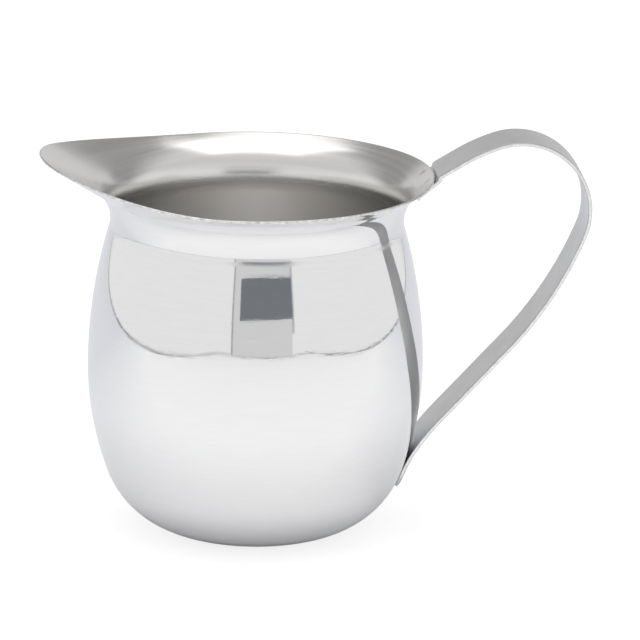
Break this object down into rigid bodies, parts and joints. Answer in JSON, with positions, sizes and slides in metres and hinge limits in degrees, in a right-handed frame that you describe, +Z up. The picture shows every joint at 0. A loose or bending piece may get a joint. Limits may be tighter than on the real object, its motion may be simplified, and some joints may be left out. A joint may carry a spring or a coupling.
{
  "type": "creamer",
  "caption": "Small bell-shaped stainless steel creamer with a flared lip, a pulled pouring spout and a bent strap handle spot-welded under the lip and low on the belly.",
  "frame": {"origin": "middle of the flat base, on the body's axis, where the creamer stands", "axes": "+Z up along the body's axis, +X towards the handle, the spout towards -X; the part is mirror-symmetric about the XZ plane"},
  "size_m": [0.118, 0.0768, 0.0861],
  "materials": {
    "mirror_steel": "mirror-polished stainless steel outside, fine brushed lines inside",
    "satin_steel": "satin stainless strap with deburred edges",
    "weld_steel": "dull grey fused steel"
  },
  "bodies": {
    "root": {"body": "mirror_steel", "handle": "satin_steel", "upper_spot_welds": "weld_steel", "lower_spot_welds": "weld_steel"}
  },
  "joints": []
}
